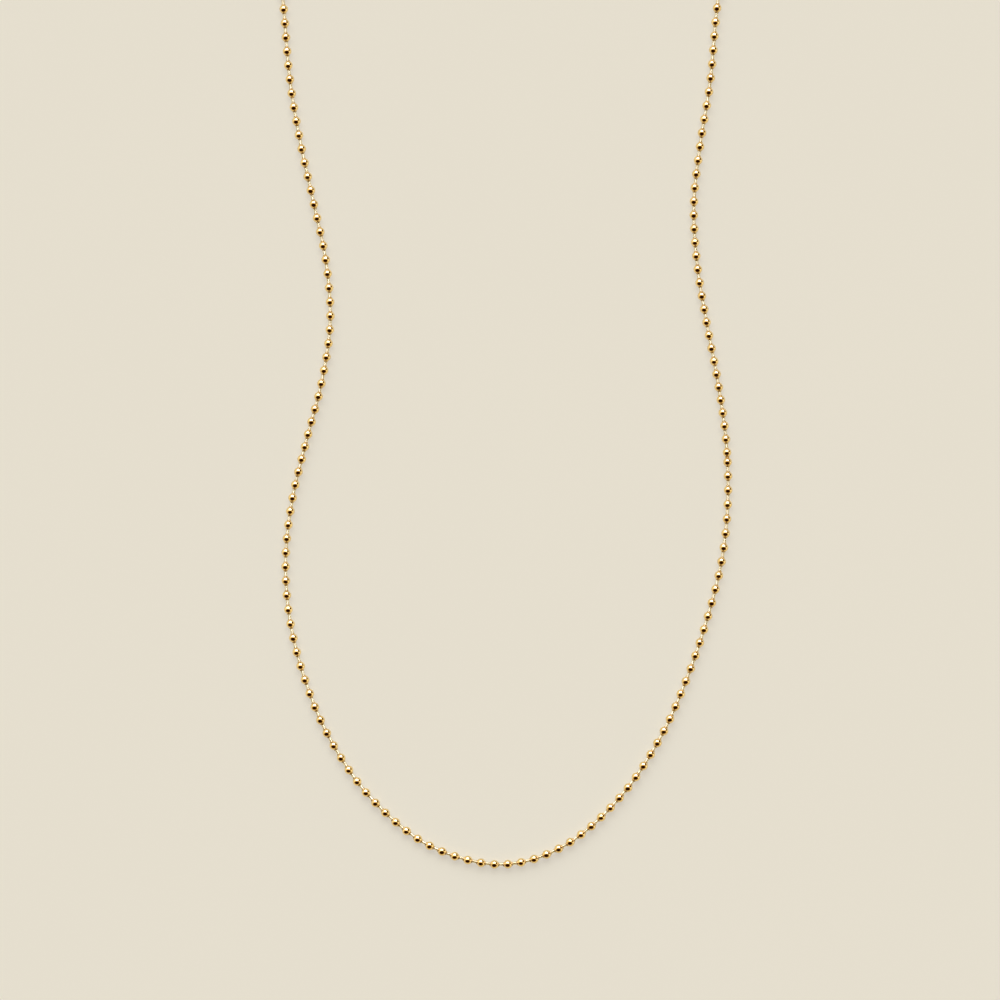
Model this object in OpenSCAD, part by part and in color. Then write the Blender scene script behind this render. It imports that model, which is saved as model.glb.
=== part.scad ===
// Ball chain necklace: hollow balls strung on headed pins, closed by one coupling.
// Millimetres. It lies flat with its lowest balls on z = 0, the coupling at +Y and
// the origin under the middle of its box.

/* [Balls] */
// Diameter of a ball
ball_d = 1.5; // [1.4:0.05:1.8]
// Thickness of a ball's sheet metal shell
ball_wall = 0.15; // [0.1:0.01:0.2]

/* [Pins] */
// Diameter of the pin that joins two balls
pin_d = 0.5; // [0.4:0.01:0.55]
// Length of pin that shows between two balls of a stretched chain
pin_free = 0.9; // [0.6:0.05:1.6]
// Clearance round a pin in the hole of a ball
pin_clear = 0.12; // [0.1:0.01:0.14]
// How far a pin's head stands past the edge of the hole that holds it
head_catch = 0.05; // [0.03:0.01:0.06]

/* [Coupling] */
// Length of the coupling
coupling_l = 6; // [5:0.1:9]
// Thickness of the coupling's rolled wall
coupling_wall = 0.2; // [0.15:0.01:0.4]
// Thickness of the coupling's end walls
coupling_end = 0.25; // [0.2:0.01:0.4]
// Clearance round the two end balls inside the coupling
coupling_clear = 0.12; // [0.1:0.01:0.25]
// Clearance on each side of a pin in the coupling's slot
slot_clear = 0.15; // [0.12:0.01:0.25]
// Clearance round a ball in the entry hole in the middle of the slot
entry_clear = 0.05; // [0.02:0.01:0.1]
// Radius of the coupling's rounded end edges
coupling_edge = 0.3; // [0.1:0.05:0.4]

/* [Lie] */
// Length of chain that slopes from the coupling down to the surface
slope_l = 9; // [7:0.5:20]

/* [Hidden] */
$fn = 48;

// The coupling's place at the back of the neck
top_y = 123.5;

// Places that the chain passes through, seen from above: from the coupling down the left
// strand, round the front of the neck, up the right strand and back to the coupling
route = [
    [-8, 123], [-19, 119], [-28.5, 112], [-34.5, 102], [-36.8, 91.5],
    [-36.2, 80], [-35.3, 70], [-33.6, 60], [-31.4, 50], [-29.3, 40], [-28.6, 30], [-30, 20],
    [-32.6, 10], [-35, 0], [-36.1, -10], [-35.4, -20], [-32.9, -30], [-28.7, -40], [-21.8, -50],
    [-12, -58], [0, -61.2], [10.8, -58],
    [20, -50], [26.8, -40], [31.3, -30], [34.7, -20], [37.2, -10], [38.2, 0], [37.9, 10],
    [36.5, 20], [34.6, 30], [33, 40], [32.5, 50], [33.6, 60], [35.2, 70], [36.1, 80],
    [37, 91.5], [34.9, 102], [28.5, 112], [19, 119], [8, 123]
];

// How far the chain is drawn out on its way round:
// [share of the way round, gap between balls as a share of pin_free]
slack = [
    [0, 0.96], [0.14, 0.98], [0.24, 1], [0.3, 0.74], [0.36, 1.06], [0.42, 1.03], [0.48, 0.88],
    [0.54, 0.82], [0.62, 0.92], [0.67, 1.06], [0.71, 0.77], [0.78, 0.9], [0.86, 0.98], [1, 0.96]
];
mean_slack = 0.92;

// One pair of balls has slid together: its place as a share of the way round, and its gap
closed_at = 0.69;
closed_gap = 0.12;

// How deep a pin is set in its ball's wall, as a share of the wall
pin_depth = 0.6;

ball_r = ball_d / 2;
cavity_r = ball_r - ball_wall;
hole_d = pin_d + 2 * pin_clear;
head_d = hole_d + 2 * head_catch;
pin_root = ball_r - pin_depth * ball_wall;

coupling_bore = ball_d + 2 * coupling_clear;
coupling_d = coupling_bore + 2 * coupling_wall;
coupling_z = coupling_d / 2;
slot_w = pin_d + 2 * slot_clear;
entry_d = ball_d + 2 * entry_clear;
end_ball_x = coupling_l / 2 - coupling_end - coupling_clear - ball_r;

// Running totals of a list, from 0
function totals(v) = [for (i = 0, s = 0; i <= len(v); s = s + (i < len(v) ? v[i] : 0), i = i + 1) s];

// A smooth curve from b to c, with a and d as the places before and after them
function curve(a, b, c, d, t) =
    (2 * b + (c - a) * t + (2 * a - 5 * b + 4 * c - d) * t * t + (3 * b - a - 3 * c + d) * t * t * t) / 2;

// The route from the left end ball to the right one, with short steps along it
path = concat([[0, top_y], [-end_ball_x, top_y]], route, [[end_ball_x, top_y], [0, top_y]]);
steps = 12;

line = concat(
    [for (i = [0:len(path) - 4], k = [0:steps - 1])
        curve(path[i], path[i + 1], path[i + 2], path[i + 3], k / steps)],
    [path[len(path) - 2]]
);
reach = totals([for (i = [1:len(line) - 1]) norm(line[i] - line[i - 1])]);
run = reach[len(line) - 1];
x_along = [for (i = [0:len(line) - 1]) [reach[i], line[i].x]];
y_along = [for (i = [0:len(line) - 1]) [reach[i], line[i].y]];

// Each ball's distance to the next one, and its mark along the route. The marks are fitted
// to the route, so that the last ball meets its place in the coupling.
pins = round(run / (ball_d + mean_slack * pin_free));
pitch = [for (i = [0:pins - 1])
    ball_d + (i == floor(closed_at * pins) ? closed_gap : pin_free * lookup((i + 0.5) / pins, slack))];
mark = totals(pitch) * run / totals(pitch)[pins];

// Height of a ball's middle, which comes down from the coupling's axis to the surface
function ease(t) = t >= 1 ? 1 : t * t * (3 - 2 * t);
function height(s) = ball_r + (coupling_z - ball_r) * (1 - ease(min(s, run - s) / slope_l));

balls = [for (s = mark) [lookup(s, x_along), lookup(s, y_along), height(s)]];

// The left strand runs to the middle of the front, and the right one goes on from there
front = floor(pins / 2);

// Middle of the whole necklace's box, which goes to the origin
function span_mid(low, high) = (low + high) / 2;
mid = [
    span_mid(min([for (b = balls) b.x]), max([for (b = balls) b.x])),
    span_mid(min([for (b = balls) b.y]) - ball_r, top_y + coupling_d / 2)
];

// Turns what stands along +Z to point along v
module along(v) {
    rotate([0, acos(v.z / norm(v)), atan2(v.y, v.x)]) children();
}

// A hollow ball with a hole towards each of the given directions. The spheres are turned so
// that their poles and seams lie a quarter turn from the holes.
module shell(holes) {
    seam = atan2(holes[0].y, holes[0].x) + 90;
    difference() {
        rotate(seam) sphere(d = ball_d);
        rotate(seam) sphere(r = cavity_r);
        for (v = holes) along(v) cylinder(d = hole_d, h = ball_d);
    }
}

// A pin fixed in this ball's wall, with its head held in the ball that v leads to
module pin(v) {
    along(v) {
        translate([0, 0, pin_root]) cylinder(d = pin_d, h = norm(v) - pin_root);
        translate([0, 0, norm(v)]) sphere(d = head_d);
    }
}

module link(i) {
    back = i == 0 ? [1, 0, 0] : balls[i - 1] - balls[i];
    on = i == pins ? [-1, 0, 0] : balls[i + 1] - balls[i];
    translate(balls[i]) {
        if (i == pins) {
            shell([back, on]);
        } else {
            shell([back]);
            pin(on);
        }
    }
}

// The links from one ball to another, both counted from the left end ball
module strand(first, last) {
    color("gold") translate([-mid.x, -mid.y, 0])
        for (i = [first:last]) link(i);
}

module left_strand() {
    strand(0, front);
}

module right_strand() {
    strand(front + 1, pins);
}

// Outline of the coupling's body from its axis outwards, with its end edges rounded
module coupling_outline() {
    flat = coupling_l / 2 - coupling_edge;
    inner = coupling_d / 2 - coupling_edge;
    corner = [for (a = [0:22.5:90]) [inner + coupling_edge * cos(a), flat + coupling_edge * sin(a)]];
    polygon(concat([[0, -coupling_l / 2]],
        [for (i = [len(corner) - 1:-1:0]) [corner[i].x, -corner[i].y]], corner, [[0, coupling_l / 2]]));
}

// A barrel that holds the two end balls, slotted on top for the pins, with an entry for the balls
module coupling() {
    chamber = coupling_l - 2 * coupling_end;
    color("gold") translate([-mid.x, top_y - mid.y, coupling_z])
        difference() {
            rotate([0, 90, 0]) rotate_extrude() coupling_outline();
            rotate([0, 90, 0]) cylinder(d = coupling_bore, h = chamber, center = true);
            rotate([0, 90, 0]) cylinder(d = slot_w, h = coupling_l + 1, center = true);
            translate([-coupling_l, -slot_w / 2, 0]) cube([2 * coupling_l, slot_w, coupling_d]);
            cylinder(d = entry_d, h = coupling_d);
        }
}

left_strand();
right_strand();
coupling();
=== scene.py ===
"""Ball chain necklace: hollow gold-plated balls on headed pins, closed by a coupling."""

import math

import bmesh
import bpy
import numpy as np
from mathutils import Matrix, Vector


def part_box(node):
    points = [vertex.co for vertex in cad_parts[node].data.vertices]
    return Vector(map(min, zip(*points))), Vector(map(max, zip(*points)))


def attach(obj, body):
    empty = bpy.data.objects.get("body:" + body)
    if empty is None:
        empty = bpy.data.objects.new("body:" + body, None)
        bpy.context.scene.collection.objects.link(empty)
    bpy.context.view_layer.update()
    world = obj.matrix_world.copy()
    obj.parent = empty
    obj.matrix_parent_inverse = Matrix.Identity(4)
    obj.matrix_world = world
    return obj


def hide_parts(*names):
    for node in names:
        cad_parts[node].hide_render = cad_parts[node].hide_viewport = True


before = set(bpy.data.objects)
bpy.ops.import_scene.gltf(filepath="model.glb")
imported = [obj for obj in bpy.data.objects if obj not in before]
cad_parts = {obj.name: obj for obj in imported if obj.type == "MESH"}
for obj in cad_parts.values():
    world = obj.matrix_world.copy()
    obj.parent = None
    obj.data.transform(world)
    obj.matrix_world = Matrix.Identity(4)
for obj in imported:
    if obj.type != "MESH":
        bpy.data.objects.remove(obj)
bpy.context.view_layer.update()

bl_info = {
    "name": "Ball chain necklace",
    "version": (1, 0, 0),
    "blender": (4, 5, 0),
    "location": "3D View > Sidebar > Ball chain",
    "description": "Makes a ball chain necklace on its packed frame, with its table and light",
    "category": "Object",
}

MM = 0.001

# The chain's way, as in the part's source

# Places that the chain passes through, seen from above, in millimetres: from the coupling
# down the left strand, round the front of the neck and up the right strand
ROUTE = [
    (-8, 123), (-19, 119), (-28.5, 112), (-34.5, 102), (-36.8, 91.5),
    (-36.2, 80), (-35.3, 70), (-33.6, 60), (-31.4, 50), (-29.3, 40), (-28.6, 30), (-30, 20),
    (-32.6, 10), (-35, 0), (-36.1, -10), (-35.4, -20), (-32.9, -30), (-28.7, -40), (-21.8, -50),
    (-12, -58), (0, -61.2), (10.8, -58),
    (20, -50), (26.8, -40), (31.3, -30), (34.7, -20), (37.2, -10), (38.2, 0), (37.9, 10),
    (36.5, 20), (34.6, 30), (33, 40), (32.5, 50), (33.6, 60), (35.2, 70), (36.1, 80),
    (37, 91.5), (34.9, 102), (28.5, 112), (19, 119), (8, 123),
]
TOP_Y = 123.5

# Share of the way round, and the gap between balls there as a share of the free length of a pin
SLACK = [
    (0, 0.96), (0.14, 0.98), (0.24, 1), (0.3, 0.74), (0.36, 1.06), (0.42, 1.03), (0.48, 0.88),
    (0.54, 0.82), (0.62, 0.92), (0.67, 1.06), (0.71, 0.77), (0.78, 0.9), (0.86, 0.98), (1, 0.96),
]
MEAN_SLACK = 0.92

# One pair of balls has slid together: its place on the way round, and its gap in millimetres
CLOSED_AT = 0.69
CLOSED_GAP = 0.12

CURVE_STEPS = 12

# Where the camera stands from the route's own origin
CAMERA_ACROSS = -0.084 * MM
CAMERA_UP = 0.042 * MM

# Small shapes that no setting changes

# Room between a collar and its pin, as a share of the pin's clearance
COLLAR_ROOM = 0.6
COLLAR_FLARE = 0.03 * MM
COLLAR_LIP = 0.012 * MM

# A pin's head: how thick its rim lies, and how deep the whole head is down to the shaft
HEAD_THICKNESS = 0.1 * MM
HEAD_DEPTH = 0.13 * MM

# Where the painted shade on a pin's shaft is at half and where it has faded out, as shares of its
# free length
SHAFT_HALF_SHADE = 0.5
SHAFT_UNSHADED = 0.38

# How much painted shade a ball has where its collar starts
FOOT_PAINTED_SHADE = 0.4

# From one fine mark round a pin to the next
RING_MARK = 0.06 * MM

# What is merged in a shape, the angle from which an edge is sharp, and how far a ball may lie
# off the frame
MERGE_DISTANCE = 0.0005 * MM
SHARP_ANGLE = math.radians(40)
FRAME_ROOM = 0.05 * MM

CAMERA_SENSOR = 36

# Patterns on the metal and the table, in clouds to a metre
CLOUDS = 900
SMUDGES = 260
DENTS = 700
SCRATCHES = 9000
WIRE_CLOUDS = 2500
SHEET_CLOUDS = 700
SHEET_MARKS = (400, 9000, 9000)
TABLE_CLOUDS = 25
SCRATCH_DEPTH = 0.02 * MM
SMUDGE_EDGE = (0.52, 0.75)

# How far a ball's or a pin's own tone and the clouds go towards the deeper colour
BALL_TONE = 0.14
BALL_CLOUD = 0.10
PIN_TONE = 0.15
PIN_CLOUD = 0.15
SHEET_CLOUD = 0.3
SHEET_MARK = 0.1

# How much roughness the same things add
BALL_TONE_DULL = 0.03
SMUDGE_DULL = 0.05
PIN_TONE_DULL = 0.04
PIN_CLOUD_DULL = 0.04
SHEET_DULL = 0.03
SHEET_MARK_DULL = 0.06
SHEET_CLOUD_DULL = 0.05

# How far the marks round one pin are shifted against those of another, at most, in radians
RING_SHIFT = 6

TABLE_DARKER = 0.96
TABLE_ROUGHNESS = 0.9
TABLE_SPECULAR = 0.1

# The light all round, as places on a mirror ball seen from above: the middle and the half
# width of each form, as shares of the ball's radius
BOX_MIDDLE = (-0.05, 0.25)
BOX_HALF = (0.32, 0.36)
BOX_EDGE = (0.92, 1.06)
BOX_LOW_EDGE = (0.18, 0.38)
BOX_TINT = (0.95, 1.0, 1.6)
GAP_MIDDLE = (-0.06, -0.26)
GAP_HALF = (0.57, 0.405)
GAP_EDGE = (0.68, 1.32)
GAP_LIGHT = 0.012

# How much faster green and blue fade towards the gap than red
GREEN_FADE = 1.35
BLUE_FADE = 2.2

# The dark arc past the soft box: how far out it lies, and where its turn starts and ends
ARC_OUT = (0.57, 0.65)
ARC_START = (0.2, 0.5)
ARC_END = (1.4, 2.9)
ARC_SHARE = 0.95

# Where the left wall goes over into the right one
WALLS_MEET = (-0.6, 0.6)

# The dark door, by its way out from the ball's middle and its turn from the right in radians
DOOR_MIDDLE = (0.56, 0.52)
DOOR_HALF = (0.22, 0.46)
DOOR_EDGE = (0.8, 1.1)


class ChainSizes(bpy.types.PropertyGroup):
    """Sizes of the balls and pins. The frame is built on the same sizes."""

    ball_diameter: bpy.props.FloatProperty(
        name="Ball diameter", description="Across one ball", default=1.5 * MM,
        min=1.4 * MM, max=1.8 * MM, precision=5, unit="LENGTH",
    )
    ball_wall: bpy.props.FloatProperty(
        name="Ball wall", description="Thickness of a ball's rolled wall", default=0.15 * MM,
        min=0.1 * MM, max=0.2 * MM, precision=5, unit="LENGTH",
    )
    pin_diameter: bpy.props.FloatProperty(
        name="Pin diameter", description="Across the shaft of one pin", default=0.5 * MM,
        min=0.4 * MM, max=0.55 * MM, precision=5, unit="LENGTH",
    )
    pin_free: bpy.props.FloatProperty(
        name="Free length", description="Pin length between two balls drawn apart",
        default=0.9 * MM, min=0.6 * MM, max=1.6 * MM, precision=5, unit="LENGTH",
    )
    pin_clear: bpy.props.FloatProperty(
        name="Pin clearance", description="Room round a pin in the hole of a ball",
        default=0.12 * MM, min=0.1 * MM, max=0.14 * MM, precision=5, unit="LENGTH",
    )
    head_catch: bpy.props.FloatProperty(
        name="Head catch", description="How far a pin's head stands past the edge of its hole",
        default=0.05 * MM, min=0.03 * MM, max=0.06 * MM, precision=5, unit="LENGTH",
    )
    collar: bpy.props.FloatProperty(
        name="Collar", description="How far a hole's collar stands past the round of its ball",
        default=0.045 * MM, min=0.01 * MM, max=0.05 * MM, precision=5, unit="LENGTH",
    )
    ball_sides: bpy.props.IntProperty(
        name="Ball sides", description="Faces round a ball", default=12, min=10, max=16,
    )
    ball_rings: bpy.props.IntProperty(
        name="Ball rings", description="Rows of faces between a ball's collars", default=6,
        min=4, max=10, step=2,
    )
    pin_sides: bpy.props.IntProperty(
        name="Pin sides", description="Faces round a pin", default=10, min=6, max=12,
    )
    seed: bpy.props.IntProperty(
        name="Seed", description="Chooses how each ball is rolled and toned", default=7, min=0,
    )


class CouplingSizes(bpy.types.PropertyGroup):
    """Sizes of the coupling that closes the chain, as in the frame."""

    length: bpy.props.FloatProperty(
        name="Length", description="Length of the coupling", default=6 * MM,
        min=5 * MM, max=9 * MM, precision=5, unit="LENGTH",
    )
    wall: bpy.props.FloatProperty(
        name="Wall", description="Thickness of its rolled wall", default=0.2 * MM,
        min=0.15 * MM, max=0.4 * MM, precision=5, unit="LENGTH",
    )
    end_wall: bpy.props.FloatProperty(
        name="End wall", description="Thickness of its end walls", default=0.25 * MM,
        min=0.2 * MM, max=0.4 * MM, precision=5, unit="LENGTH",
    )
    clearance: bpy.props.FloatProperty(
        name="Clearance", description="Room round the two end balls inside it",
        default=0.12 * MM, min=0.1 * MM, max=0.25 * MM, precision=5, unit="LENGTH",
    )
    slope: bpy.props.FloatProperty(
        name="Slope", description="Length of chain that slopes from it to the surface",
        default=9 * MM, min=7 * MM, max=20 * MM, precision=5, unit="LENGTH",
    )


class GoldFinish(bpy.types.PropertyGroup):
    """Colours and polish of the plating."""

    gold: bpy.props.FloatVectorProperty(
        name="Gold", description="Colour of the polished plating", default=(1.0, 0.76, 0.355),
        size=3, subtype="COLOR", min=0, max=1,
    )
    # Deep gold: the deeper tone that balls and pins vary towards, and the colour of the painted
    # shade at the collars, round the holes and at the pin ends
    deep_gold: bpy.props.FloatVectorProperty(
        name="Deep gold", description="Colour of the plating in hollows and round the holes",
        default=(0.52, 0.29, 0.045), size=3, subtype="COLOR", min=0, max=1,
    )
    roughness: bpy.props.FloatProperty(
        name="Roughness", description="How dull the polish is", default=0.07, min=0.02, max=0.5,
        subtype="FACTOR",
    )
    # How far the painted shade in deep gold covers collars, hollows and pin ends
    hollow_shade_share: bpy.props.FloatProperty(
        name="Hollow share", description="How far the deep gold covers collars and hollows",
        default=0.9, min=0, max=1, subtype="FACTOR",
    )
    hollow_roughness: bpy.props.FloatProperty(
        name="Hollow roughness", description="How much duller collars and hollows are",
        default=0.6, min=0, max=0.8, subtype="FACTOR",
    )
    # The collars and hollows under the painted shade are also made less metallic
    hollow_matt: bpy.props.FloatProperty(
        name="Hollow matt", description="How far polish left in the hollows hides the metal",
        default=0.55, min=0, max=1, subtype="FACTOR",
    )
    wire: bpy.props.FloatVectorProperty(
        name="Wire", description="Colour of the pins' paler plating", default=(1.0, 0.915, 0.54),
        size=3, subtype="COLOR", min=0, max=1,
    )
    wire_roughness: bpy.props.FloatProperty(
        name="Wire roughness", description="How dull the pins are", default=0.25, min=0.02,
        max=0.8, subtype="FACTOR",
    )
    ring_depth: bpy.props.FloatProperty(
        name="Ring marks", description="Depth of the fine marks round the pins",
        default=0.0062 * MM, min=0, max=0.02 * MM, precision=6, unit="LENGTH",
    )
    dents: bpy.props.FloatProperty(
        name="Dents", description="Depth of the faint unevenness of the rolled balls",
        default=0.08 * MM, min=0, max=0.2 * MM, precision=5, unit="LENGTH",
    )
    scratches: bpy.props.FloatProperty(
        name="Scratches", description="Strength of the fine polishing marks", default=0.05,
        min=0, max=1, subtype="FACTOR",
    )


class StudioSettings(bpy.types.PropertyGroup):
    """Table, light and camera."""

    table_colour: bpy.props.FloatVectorProperty(
        name="Table", description="Colour of the pale table", default=(0.297, 0.277, 0.150),
        size=3, subtype="COLOR", min=0, max=1,
    )
    table_glow: bpy.props.FloatVectorProperty(
        name="Table glow", description="Light that comes up through the pale table",
        default=(0.539, 0.515, 0.471), size=3, subtype="COLOR", min=0, max=1,
    )
    table_width: bpy.props.FloatProperty(
        name="Table width", description="Across the table", default=8.0, min=1, unit="LENGTH",
    )
    box_light: bpy.props.FloatProperty(
        name="Soft box", description="Brightness of the soft box above the far side",
        default=4.6, min=0, max=20,
    )
    wall_light: bpy.props.FloatProperty(
        name="Wall light", description="Brightness of the walls all round", default=1.38,
        min=0, max=5,
    )
    wall: bpy.props.FloatVectorProperty(
        name="Wall", description="Colour of the warm wall on the left",
        default=(0.84, 0.765, 0.585), size=3, subtype="COLOR", min=0, max=1,
    )
    bright_wall: bpy.props.FloatVectorProperty(
        name="Bright wall", description="Colour of the wall on the right",
        default=(1.0, 0.95, 0.77), size=3, subtype="COLOR", min=0, max=1,
    )
    dark_wall: bpy.props.FloatVectorProperty(
        name="Dark wall", description="Colour of what shows past the soft box",
        default=(0.08, 0.03, 0.01), size=3, subtype="COLOR", min=0, max=1,
    )
    view_width: bpy.props.FloatProperty(
        name="View width", description="Width of table that the camera sees", default=0.168,
        min=0.05, max=1, unit="LENGTH",
    )
    lens: bpy.props.FloatProperty(
        name="Lens", description="Focal length of the camera", default=200, min=20, max=300,
        unit="CAMERA",
    )


# Node trees from expressions


class Number:
    """A number in a node tree. Python's operators on it add Math nodes."""

    def __init__(self, tree, socket):
        self.tree = tree
        self.socket = socket

    def __add__(self, other):
        return self.tree.maths("ADD", self, other)

    __radd__ = __add__

    def __mul__(self, other):
        return self.tree.maths("MULTIPLY", self, other)

    __rmul__ = __mul__

    def __sub__(self, other):
        return self.tree.maths("SUBTRACT", self, other)

    def __rsub__(self, other):
        return self.tree.maths("SUBTRACT", other, self)

    def __truediv__(self, other):
        return self.tree.maths("DIVIDE", self, other)

    def __pow__(self, other):
        return self.tree.maths("POWER", self, other)

    def fades_in(self, start, end):
        """0 below start and 1 above end, with a smooth way between them."""
        node = self.tree.add(
            "ShaderNodeMapRange", {"interpolation_type": "SMOOTHSTEP"},
            {"Value": self, "From Min": start, "From Max": end},
        )
        return Number(self.tree, node.outputs["Result"])


class Tree:
    """A node tree that is filled from expressions."""

    def __init__(self, node_tree):
        self.node_tree = node_tree
        node_tree.nodes.clear()

    def add(self, kind, settings=None, inputs=None):
        """A node of this type, with its settings made before its sockets get values or links."""
        node = self.node_tree.nodes.new(kind)
        for name, value in (settings or {}).items():
            setattr(node, name, value)
        for name, value in (inputs or {}).items():
            if isinstance(value, Number):
                value = value.socket
            if isinstance(value, bpy.types.NodeSocket):
                self.node_tree.links.new(value, node.inputs[name])
            else:
                node.inputs[name].default_value = value
        return node

    def maths(self, operation, *values):
        node = self.add("ShaderNodeMath", {"operation": operation}, dict(enumerate(values)))
        return Number(self, node.outputs[0])

    def mix(self, share, first, second):
        """The colour that lies this share of the way from the first to the second."""
        node = self.add(
            "ShaderNodeMix", {"data_type": "RGBA"}, {0: share, 6: first, 7: second}
        )
        return node.outputs[2]

    def noise(self, place, scale, detail):
        node = self.add(
            "ShaderNodeTexNoise", None, {"Vector": place, "Scale": scale, "Detail": detail}
        )
        return Number(self, node.outputs["Fac"])

    def bump(self, height, depth, strength=1.0, under=None):
        """A normal that rises and falls with the height, on top of the one under it."""
        inputs = {"Strength": strength, "Distance": depth, "Height": height}
        if under is not None:
            inputs["Normal"] = under
        return self.add("ShaderNodeBump", None, inputs).outputs[0]

    def surface(self, inputs):
        """The material's shader, with the values or links of its sockets."""
        shader = self.add("ShaderNodeBsdfPrincipled", None, inputs)
        self.add("ShaderNodeOutputMaterial", None, {"Surface": shader.outputs[0]})

    def stored(self, name):
        """A number that the mesh carries under this name."""
        node = self.add("ShaderNodeAttribute", {"attribute_name": name})
        return Number(self, node.outputs["Fac"])


def colour(values):
    return (*values, 1.0)


def new_material(name):
    """A material, its empty tree, and the place on the object that its patterns follow."""
    material = bpy.data.materials.new(name)
    material.use_nodes = True
    tree = Tree(material.node_tree)
    return material, tree, tree.add("ShaderNodeTexCoord").outputs["Object"]


# The chain's layout


def curve_point(a, b, c, d, t):
    """A place on the smooth curve from b to c, a share t of the way."""
    return (
        2 * b + (c - a) * t + (2 * a - 5 * b + 4 * c - d) * t * t
        + (3 * b - a - 3 * c + d) * t * t * t
    ) / 2


def coupling_height(coupling, chain):
    """Height of the coupling's middle above the table."""
    return chain.ball_diameter / 2 + coupling.clearance + coupling.wall


def ball_places(chain, coupling):
    """Centres of all the balls, in the frame, from the coupling down the left strand and back."""
    ball_r = chain.ball_diameter / 2
    end_x = coupling.length / 2 - coupling.end_wall - coupling.clearance - ball_r
    points = np.array(
        [(0, TOP_Y), (-end_x / MM, TOP_Y), *ROUTE, (end_x / MM, TOP_Y), (0, TOP_Y)]
    ) * MM
    line = [
        curve_point(*points[i:i + 4], k / CURVE_STEPS)
        for i in range(len(points) - 3)
        for k in range(CURVE_STEPS)
    ]
    line = np.array([*line, points[-2]])
    reach = np.concatenate([[0], np.cumsum(np.linalg.norm(np.diff(line, axis=0), axis=1))])
    run = reach[-1]
    pins = round(run / (chain.ball_diameter + MEAN_SLACK * chain.pin_free))
    share, slack = np.array(SLACK).T
    gaps = chain.pin_free * np.interp((np.arange(pins) + 0.5) / pins, share, slack)
    gaps[int(CLOSED_AT * pins)] = CLOSED_GAP * MM
    marks = np.concatenate([[0], np.cumsum(chain.ball_diameter + gaps)])
    marks *= run / marks[-1]
    sloped = np.minimum(np.minimum(marks, run - marks) / coupling.slope, 1)
    lift = coupling_height(coupling, chain) - ball_r
    places = np.stack([
        np.interp(marks, reach, line[:, 0]),
        np.interp(marks, reach, line[:, 1]),
        ball_r + lift * (1 - sloped * sloped * (3 - 2 * sloped)),
    ], axis=1)
    coupling_top = TOP_Y * MM + coupling_height(coupling, chain)
    low, high = places.min(axis=0), places.max(axis=0)
    places[:, 0] -= (low[0] + high[0]) / 2
    places[:, 1] -= (low[1] - ball_r + coupling_top) / 2
    return places


def strand_ranges(places):
    """First and last ball of each strand: they meet at the front of the neck."""
    front = (len(places) - 1) // 2
    return {"left_strand": (0, front), "right_strand": (front + 1, len(places) - 1)}


def check_on_frame(places, ball_r):
    """Stops the script if the balls are not where the frame has them."""
    for strand, (first, last) in strand_ranges(places).items():
        low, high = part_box(strand)
        across = places[first:last + 1, 0]
        if strand == "left_strand":
            off = abs(across.min() - ball_r - low[0])
        else:
            off = abs(across.max() + ball_r - high[0])
        if off > FRAME_ROOM:
            raise RuntimeError(f"the balls of {strand} lie {off / MM:.3f} mm off the frame")


# Shapes


def turned_shape(name, profile, sides):
    """A mesh turned about Z from a closed profile of (height, radius, share of painted shade)."""
    mesh = bpy.data.meshes.new(name)
    turn = np.arange(sides) * 2 * math.pi / sides
    places = [
        (radius * math.cos(a), radius * math.sin(a), height)
        for height, radius, _ in profile
        for a in turn
    ]
    rows = len(profile)
    faces = [
        (
            i * sides + k, i * sides + (k + 1) % sides,
            (i + 1) % rows * sides + (k + 1) % sides, (i + 1) % rows * sides + k,
        )
        for i in range(rows)
        for k in range(sides)
    ]
    mesh.from_pydata(places, [], faces)
    # Each point's share of painted shade, which the finishes read
    hollow = mesh.attributes.new("hollow", "FLOAT", "POINT")
    hollow.data.foreach_set("value", np.repeat([h for _, _, h in profile], sides))
    along = mesh.attributes.new("along", "FLOAT", "POINT")
    along.data.foreach_set("value", np.repeat([z / MM for z, _, _ in profile], sides))
    finish_shape(mesh)
    return bpy.data.objects.new(name, mesh)


def finish_shape(mesh):
    """Merges poles, turns every face outwards and marks the edges that are really sharp."""
    work = bmesh.new()
    work.from_mesh(mesh)
    bmesh.ops.remove_doubles(work, verts=work.verts, dist=MERGE_DISTANCE)
    bmesh.ops.recalc_face_normals(work, faces=work.faces)
    if work.calc_volume(signed=True) < 0:
        bmesh.ops.reverse_faces(work, faces=work.faces)
    loose = [edge for edge in work.edges if edge.is_wire]
    bmesh.ops.delete(work, geom=loose, context="EDGES")
    work.to_mesh(mesh)
    work.free()
    mesh.shade_smooth()
    mesh.set_sharp_from_angle(angle=SHARP_ANGLE)


def ball_shape(chain):
    """One hollow ball, drawn out at both ends to a short collar that the pin passes through."""
    outer = chain.ball_diameter / 2
    mouth = chain.pin_diameter / 2 + COLLAR_ROOM * chain.pin_clear
    foot = mouth + COLLAR_FLARE
    first = math.asin(foot / outer)
    angles = np.linspace(first, math.pi / 2, chain.ball_rings // 2 + 1)[:-1]
    # The third value of each row is its share of painted shade: full on the collar and inside,
    # part at the foot, none on the round
    side = [
        (outer * math.cos(first) - chain.ball_wall / 2, mouth, 1.0),
        (outer + chain.collar, mouth + COLLAR_LIP, 1.0),
        (outer * math.cos(first), foot, FOOT_PAINTED_SHADE),
        *((outer * math.cos(a), outer * math.sin(a), 0.0) for a in angles[1:]),
    ]
    other = [(-height, radius, hollow) for height, radius, hollow in reversed(side)]
    cavity = (0, outer - chain.ball_wall, 1.0)
    return turned_shape("ball_shape", [*side, (0, outer, 0.0), *other, cavity], chain.ball_sides)


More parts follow.
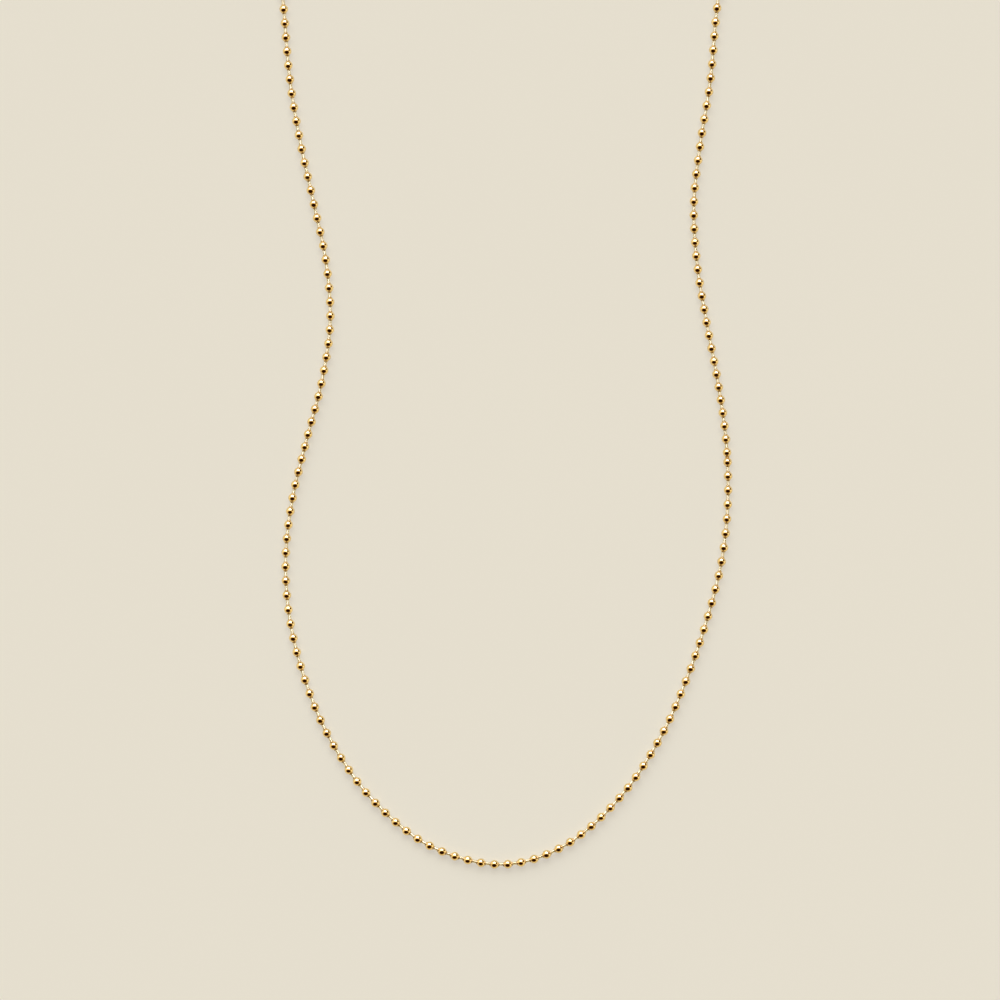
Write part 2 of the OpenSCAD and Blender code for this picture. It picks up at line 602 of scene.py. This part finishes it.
def pin_shape(chain, length):
    """One pin: a straight shaft with a flat head at each end."""
    shaft = chain.pin_diameter / 2
    head = shaft + chain.pin_clear + chain.head_catch
    half = length / 2
    # The third value of each row is its share of painted shade: full on the heads and next to the
    # balls, fading out along the shaft
    side = [
        (half, 0.0, 1.0),
        (half - HEAD_THICKNESS / 2, head, 1.0),
        (half - HEAD_DEPTH, shaft, 1.0),
        (SHAFT_HALF_SHADE * chain.pin_free, shaft, 0.5),
        (SHAFT_UNSHADED * chain.pin_free, shaft, 0.0),
    ]
    other = [(-height, radius, hollow) for height, radius, hollow in reversed(side)]
    return turned_shape("pin_shape", side + other, chain.pin_sides)


def along_chain_tree():
    """The tree that sets one shape on every point of a mesh, turned to the chain's heading."""
    group = bpy.data.node_groups.new("Shapes along the chain", "GeometryNodeTree")
    ports = group.interface
    ports.new_socket("Geometry", in_out="INPUT", socket_type="NodeSocketGeometry")
    ports.new_socket("Shape", in_out="INPUT", socket_type="NodeSocketObject")
    ports.new_socket("Seed", in_out="INPUT", socket_type="NodeSocketInt")
    ports.new_socket("Finish", in_out="INPUT", socket_type="NodeSocketMaterial")
    ports.new_socket("Geometry", in_out="OUTPUT", socket_type="NodeSocketGeometry")
    tree = Tree(group)
    given = tree.add("NodeGroupInput").outputs
    points = tree.add(
        "GeometryNodeMeshToPoints", {"mode": "VERTICES"}, {"Mesh": given["Geometry"]}
    )
    heading = tree.add(
        "GeometryNodeInputNamedAttribute", {"data_type": "FLOAT_VECTOR"}, {"Name": "heading"}
    )
    facing = tree.add(
        "FunctionNodeAlignRotationToVector", {"axis": "Z"},
        {"Vector": heading.outputs["Attribute"]},
    )
    roll = tree.add(
        "FunctionNodeRandomValue", {"data_type": "FLOAT"},
        {2: 0.0, 3: 2 * math.pi, "Seed": given["Seed"]},
    )
    rolled = tree.add(
        "FunctionNodeAxisAngleToRotation", None, {"Axis": (0, 0, 1), "Angle": roll.outputs[1]}
    )
    turned = tree.add(
        "FunctionNodeRotateRotation", {"rotation_space": "LOCAL"},
        {"Rotation": facing.outputs[0], "Rotate By": rolled.outputs[0]},
    )
    shape = tree.add(
        "GeometryNodeObjectInfo", {"transform_space": "ORIGINAL"}, {"Object": given["Shape"]}
    )
    placed = tree.add(
        "GeometryNodeInstanceOnPoints", None,
        {"Points": points.outputs[0], "Instance": shape.outputs["Geometry"],
         "Rotation": turned.outputs[0]},
    )
    tone = tree.add(
        "FunctionNodeRandomValue", {"data_type": "FLOAT"},
        {2: 0.0, 3: 1.0, "Seed": tree.maths("ADD", Number(tree, given["Seed"]), 1)},
    )
    toned = tree.add(
        "GeometryNodeStoreNamedAttribute", {"data_type": "FLOAT", "domain": "INSTANCE"},
        {"Geometry": placed.outputs[0], "Name": "tone", "Value": tone.outputs[1]},
    )
    real = tree.add("GeometryNodeRealizeInstances", None, {"Geometry": toned.outputs[0]})
    finished = tree.add(
        "GeometryNodeSetMaterial", None, {"Geometry": real.outputs[0], "Material": given["Finish"]}
    )
    tree.add("NodeGroupOutput", None, {"Geometry": finished.outputs[0]})
    return group


def set_along_chain(name, places, headings, shape, seed, finish):
    """One mesh piece with the shape on every place, turned to the heading there."""
    mesh = bpy.data.meshes.new(name)
    mesh.from_pydata(places.tolist(), [], [])
    stored = mesh.attributes.new("heading", "FLOAT_VECTOR", "POINT")
    stored.data.foreach_set("vector", headings.astype(np.float32).ravel())
    line = bpy.data.objects.new(name + "_line", mesh)
    bpy.context.scene.collection.objects.link(line)
    modifier = line.modifiers.new("Along the chain", "NODES")
    modifier.node_group = bpy.data.node_groups.get("Shapes along the chain") or along_chain_tree()
    values = {"Shape": shape, "Seed": seed, "Finish": finish}
    for item in modifier.node_group.interface.items_tree:
        if item.in_out == "INPUT" and item.name in values:
            modifier[item.identifier] = values[item.name]
    graph = bpy.context.evaluated_depsgraph_get()
    made = bpy.data.meshes.new_from_object(
        line.evaluated_get(graph), preserve_all_data_layers=True, depsgraph=graph
    )
    bpy.data.objects.remove(line)
    if not made.polygons:
        raise RuntimeError(f"{name} came out empty")
    made.name = name
    piece = bpy.data.objects.new(name, made)
    bpy.context.scene.collection.objects.link(piece)
    return piece


# Finishes


def polished_gold(name, finish):
    """Polished gold plate of the balls, with painted shade in deep gold at the collars, round the
    holes and inside.
    """
    material, tree, place = new_material(name)
    hollow = tree.stored("hollow")
    tone = tree.stored("tone")
    cloud = tree.noise(place, CLOUDS, 2)
    smudge = tree.noise(place, SMUDGES, 3).fades_in(*SMUDGE_EDGE)
    depth = tone * BALL_TONE + cloud * BALL_CLOUD
    body = tree.mix(depth, colour(finish.gold), colour(finish.deep_gold))
    # Painted shade: deep gold, duller and less metallic at the collars, round the holes and
    # inside, for the shadow round each pin
    body = tree.mix(hollow * finish.hollow_shade_share, body, colour(finish.deep_gold))
    dull = finish.roughness + tone * BALL_TONE_DULL + smudge * SMUDGE_DULL
    dull = dull + hollow * finish.hollow_roughness
    dents = tree.bump(tree.noise(place, DENTS, 1), finish.dents)
    marks = tree.noise(place, SCRATCHES, 2)
    scratched = tree.bump(marks, SCRATCH_DEPTH, finish.scratches, dents)
    tree.surface({
        "Base Color": body, "Metallic": 1.0 - hollow * finish.hollow_matt, "Roughness": dull,
        "Normal": scratched,
    })
    return material


def satin_wire(name, finish):
    """Paler plate of the pins, with fine marks that run round the wire, and painted shade in deep
    gold on the heads and the shaft's ends.
    """
    material, tree, place = new_material(name)
    hollow = tree.stored("hollow")
    tone = tree.stored("tone")
    along = tree.stored("along")
    cloud = tree.noise(place, WIRE_CLOUDS, 2)
    depth = tone * PIN_TONE + cloud * PIN_CLOUD
    body = tree.mix(depth, colour(finish.wire), colour(finish.gold))
    # Painted shade: deep gold on the heads and on the shaft next to the balls
    body = tree.mix(hollow * finish.hollow_shade_share, body, colour(finish.deep_gold))
    dull = finish.wire_roughness + tone * PIN_TONE_DULL + cloud * PIN_CLOUD_DULL
    rings = tree.maths("SINE", along * (2 * math.pi * MM / RING_MARK) + tone * RING_SHIFT)
    tree.surface({
        "Base Color": body, "Metallic": 1.0, "Roughness": dull,
        "Normal": tree.bump(rings, finish.ring_depth),
    })
    return material


def drawn_gold(name, finish):
    """Plated sheet of the coupling: rolled lengthwise, so its polishing marks run along it."""
    material, tree, place = new_material(name)
    along = tree.add("ShaderNodeMapping", None, {"Vector": place, "Scale": SHEET_MARKS})
    marks = tree.noise(along.outputs[0], 1, 3)
    cloud = tree.noise(place, SHEET_CLOUDS, 3)
    depth = cloud * SHEET_CLOUD + marks * SHEET_MARK
    body = tree.mix(depth, colour(finish.gold), colour(finish.deep_gold))
    dull = finish.roughness + SHEET_DULL + marks * SHEET_MARK_DULL + cloud * SHEET_CLOUD_DULL
    tree.surface({
        "Base Color": body, "Metallic": 1.0, "Roughness": dull,
        "Normal": tree.bump(marks, SCRATCH_DEPTH, 2 * finish.scratches),
    })
    return material


def pale_table(name, studio):
    """Matt pale table with a hardly visible cloudiness."""
    material, tree, place = new_material(name)
    cloud = tree.noise(place, TABLE_CLOUDS, 3)
    darker = [TABLE_DARKER * c for c in studio.table_colour]
    body = tree.mix(cloud, colour(darker), colour(studio.table_colour))
    tree.surface({
        "Base Color": body, "Roughness": TABLE_ROUGHNESS, "Specular IOR Level": TABLE_SPECULAR,
        "Emission Color": colour(studio.table_glow), "Emission Strength": 1.0,
    })
    return material


def from_middle(first, second, middle, half):
    """0 in the middle of an oval and 1 at its edge."""
    return (((first - middle[0]) / half[0]) ** 2 + ((second - middle[1]) / half[1]) ** 2) ** 0.5


def studio_light(studio):
    """Light all round: a soft box on the far side, warm walls and a dark gap on the near side.

    Directions are worked out as places on a mirror ball that is seen from above."""
    world = bpy.context.scene.world or bpy.data.worlds.new("Studio")
    bpy.context.scene.world = world
    world.use_nodes = True
    tree = Tree(world.node_tree)
    way = tree.add("ShaderNodeTexCoord").outputs["Generated"]
    parts = tree.add("ShaderNodeSeparateXYZ", None, {0: way}).outputs
    x, y, z = (Number(tree, p) for p in parts)
    reach = tree.maths("MAXIMUM", 2 * (1 + z), 0.0001) ** 0.5
    across = x / reach
    up = y / reach
    out = (across * across + up * up) ** 0.5
    turn = tree.maths("ARCTAN2", up, across)
    box = 1 - from_middle(across, up, BOX_MIDDLE, BOX_HALF).fades_in(*BOX_EDGE)
    box = box * up.fades_in(*BOX_LOW_EDGE)
    gap_round = from_middle(across, up, GAP_MIDDLE, GAP_HALF)
    lit = GAP_LIGHT + gap_round.fades_in(*GAP_EDGE) * (1 - GAP_LIGHT)
    arc = out.fades_in(*ARC_OUT) * turn.fades_in(*ARC_START) * (1 - turn.fades_in(*ARC_END))
    door = 1 - from_middle(out, turn, DOOR_MIDDLE, DOOR_HALF).fades_in(*DOOR_EDGE)
    right = across.fades_in(*WALLS_MEET)
    walls = tree.mix(right, colour(studio.wall), colour(studio.bright_wall))
    dark = tree.maths("MAXIMUM", arc * ARC_SHARE, door)
    walls = tree.mix(dark, walls, colour(studio.dark_wall))
    shade = tree.add(
        "ShaderNodeCombineColor", None,
        {"Red": lit, "Green": lit ** GREEN_FADE, "Blue": lit ** BLUE_FADE},
    )
    shaded = tree.add(
        "ShaderNodeMix", {"data_type": "RGBA", "blend_type": "MULTIPLY"},
        {0: 1.0, 6: walls, 7: shade.outputs[0]},
    )
    light = tree.mix(box, shaded.outputs[2], colour(BOX_TINT))
    strength = studio.wall_light + box * (studio.box_light - studio.wall_light)
    shine = tree.add("ShaderNodeBackground", None, {"Color": light, "Strength": strength})
    tree.add("ShaderNodeOutputWorld", None, {"Surface": shine.outputs[0]})


# Operators


def chain_settings():
    scene = bpy.context.scene
    return scene.chain_sizes, scene.coupling_sizes, scene.gold_finish


def dress_piece(piece, node):
    """The piece stands for the node and moves with the necklace."""
    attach(piece, "root")
    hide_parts(node)


class BALLCHAIN_OT_balls(bpy.types.Operator):
    """Make the hollow balls of both strands"""

    bl_idname = "ballchain.balls"
    bl_label = "Balls"

    def execute(self, context):
        chain, coupling, finish = chain_settings()
        places = ball_places(chain, coupling)
        check_on_frame(places, chain.ball_diameter / 2)
        headings = np.gradient(places, axis=0)
        shape = ball_shape(chain)
        gold = polished_gold("Polished gold plate", finish)
        for strand, (first, last) in strand_ranges(places).items():
            part = slice(first, last + 1)
            name = strand.replace("strand", "balls")
            piece = set_along_chain(
                name, places[part], headings[part], shape, chain.seed + first, gold
            )
            dress_piece(piece, strand)
        bpy.data.objects.remove(shape)
        return {"FINISHED"}


class BALLCHAIN_OT_pins(bpy.types.Operator):
    """Make the headed pins that join the balls"""

    bl_idname = "ballchain.pins"
    bl_label = "Pins"

    def execute(self, context):
        chain, coupling, finish = chain_settings()
        places = ball_places(chain, coupling)
        middles = (places[1:] + places[:-1]) / 2
        headings = np.diff(places, axis=0)
        drawn_out = np.linalg.norm(headings, axis=1).max()
        hole = chain.pin_diameter / 2 + chain.pin_clear
        inner = chain.ball_diameter / 2 - chain.ball_wall
        edge = math.sqrt(inner * inner - hole * hole)
        length = drawn_out - 2 * (edge - HEAD_DEPTH)
        shape = pin_shape(chain, length)
        gold = satin_wire("Satin gold wire", finish)
        for strand, (first, last) in strand_ranges(places).items():
            part = slice(first, last + 1)
            name = strand.replace("strand", "pins")
            piece = set_along_chain(
                name, middles[part], headings[part], shape, chain.seed + first, gold
            )
            dress_piece(piece, strand)
        bpy.data.objects.remove(shape)
        return {"FINISHED"}


class BALLCHAIN_OT_coupling(bpy.types.Operator):
    """Finish the coupling that closes the chain"""

    bl_idname = "ballchain.coupling"
    bl_label = "Coupling"

    def execute(self, context):
        finish = context.scene.gold_finish
        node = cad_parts["coupling"]
        node.data.materials.clear()
        node.data.materials.append(drawn_gold("Rolled gold plate", finish))
        return {"FINISHED"}


class BALLCHAIN_OT_studio(bpy.types.Operator):
    """Make the pale table, the soft light and the camera"""

    bl_idname = "ballchain.studio"
    bl_label = "Table, light and camera"

    def execute(self, context):
        studio = context.scene.studio_settings
        chain, coupling, _ = chain_settings()
        half = studio.table_width / 2
        mesh = bpy.data.meshes.new("table")
        corners = [(-half, -half, 0), (half, -half, 0), (half, half, 0), (-half, half, 0)]
        mesh.from_pydata(corners, [], [(0, 1, 2, 3)])
        mesh.materials.append(pale_table("Pale table", studio))
        table = bpy.data.objects.new("table", mesh)
        context.scene.collection.objects.link(table)
        studio_light(studio)
        data = bpy.data.cameras.new("camera")
        data.lens = studio.lens
        data.sensor_width = CAMERA_SENSOR
        camera = bpy.data.objects.new("camera", data)
        context.scene.collection.objects.link(camera)
        middle = route_origin(chain, coupling)
        height = chain.ball_diameter / 2 + studio.view_width * studio.lens / CAMERA_SENSOR
        camera.location = (middle[0] + CAMERA_ACROSS, middle[1] + CAMERA_UP, height)
        context.scene.camera = camera
        context.scene.view_settings.view_transform = "Standard"
        return {"FINISHED"}


def route_origin(chain, coupling):
    """Where the route's own origin lies in the frame."""
    places = ball_places(chain, coupling)
    end_x = coupling.length / 2 - coupling.end_wall - coupling.clearance - chain.ball_diameter / 2
    return places[0][0] + end_x, places[0][1] - TOP_Y * MM


class BALLCHAIN_PT_panel(bpy.types.Panel):
    """Lists the makers of the necklace's pieces and their sizes"""

    bl_idname = "BALLCHAIN_PT_panel"
    bl_label = "Ball chain necklace"
    bl_space_type = "VIEW_3D"
    bl_region_type = "UI"
    bl_category = "Ball chain"

    def draw(self, context):
        for group, operators in PANEL_ROWS:
            box = self.layout.box()
            settings = getattr(context.scene, group)
            for name in settings.bl_rna.properties.keys():
                if name not in {"rna_type", "name"}:
                    box.prop(settings, name)
            for name in operators:
                box.operator(name)


GROUPS = {
    "chain_sizes": ChainSizes,
    "coupling_sizes": CouplingSizes,
    "gold_finish": GoldFinish,
    "studio_settings": StudioSettings,
}
PANEL_ROWS = [
    ("chain_sizes", ["ballchain.balls", "ballchain.pins"]),
    ("coupling_sizes", ["ballchain.coupling"]),
    ("gold_finish", []),
    ("studio_settings", ["ballchain.studio"]),
]
CLASSES = [
    *GROUPS.values(),
    BALLCHAIN_OT_balls,
    BALLCHAIN_OT_pins,
    BALLCHAIN_OT_coupling,
    BALLCHAIN_OT_studio,
    BALLCHAIN_PT_panel,
]


def register():
    for made in CLASSES:
        bpy.utils.register_class(made)
    for name, group in GROUPS.items():
        setattr(bpy.types.Scene, name, bpy.props.PointerProperty(type=group))


def unregister():
    for name in GROUPS:
        delattr(bpy.types.Scene, name)
    for made in reversed(CLASSES):
        bpy.utils.unregister_class(made)


def main():
    register()
    bpy.ops.ballchain.studio()
    bpy.ops.ballchain.balls()
    bpy.ops.ballchain.pins()
    bpy.ops.ballchain.coupling()


if __name__ == "__main__":
    main()
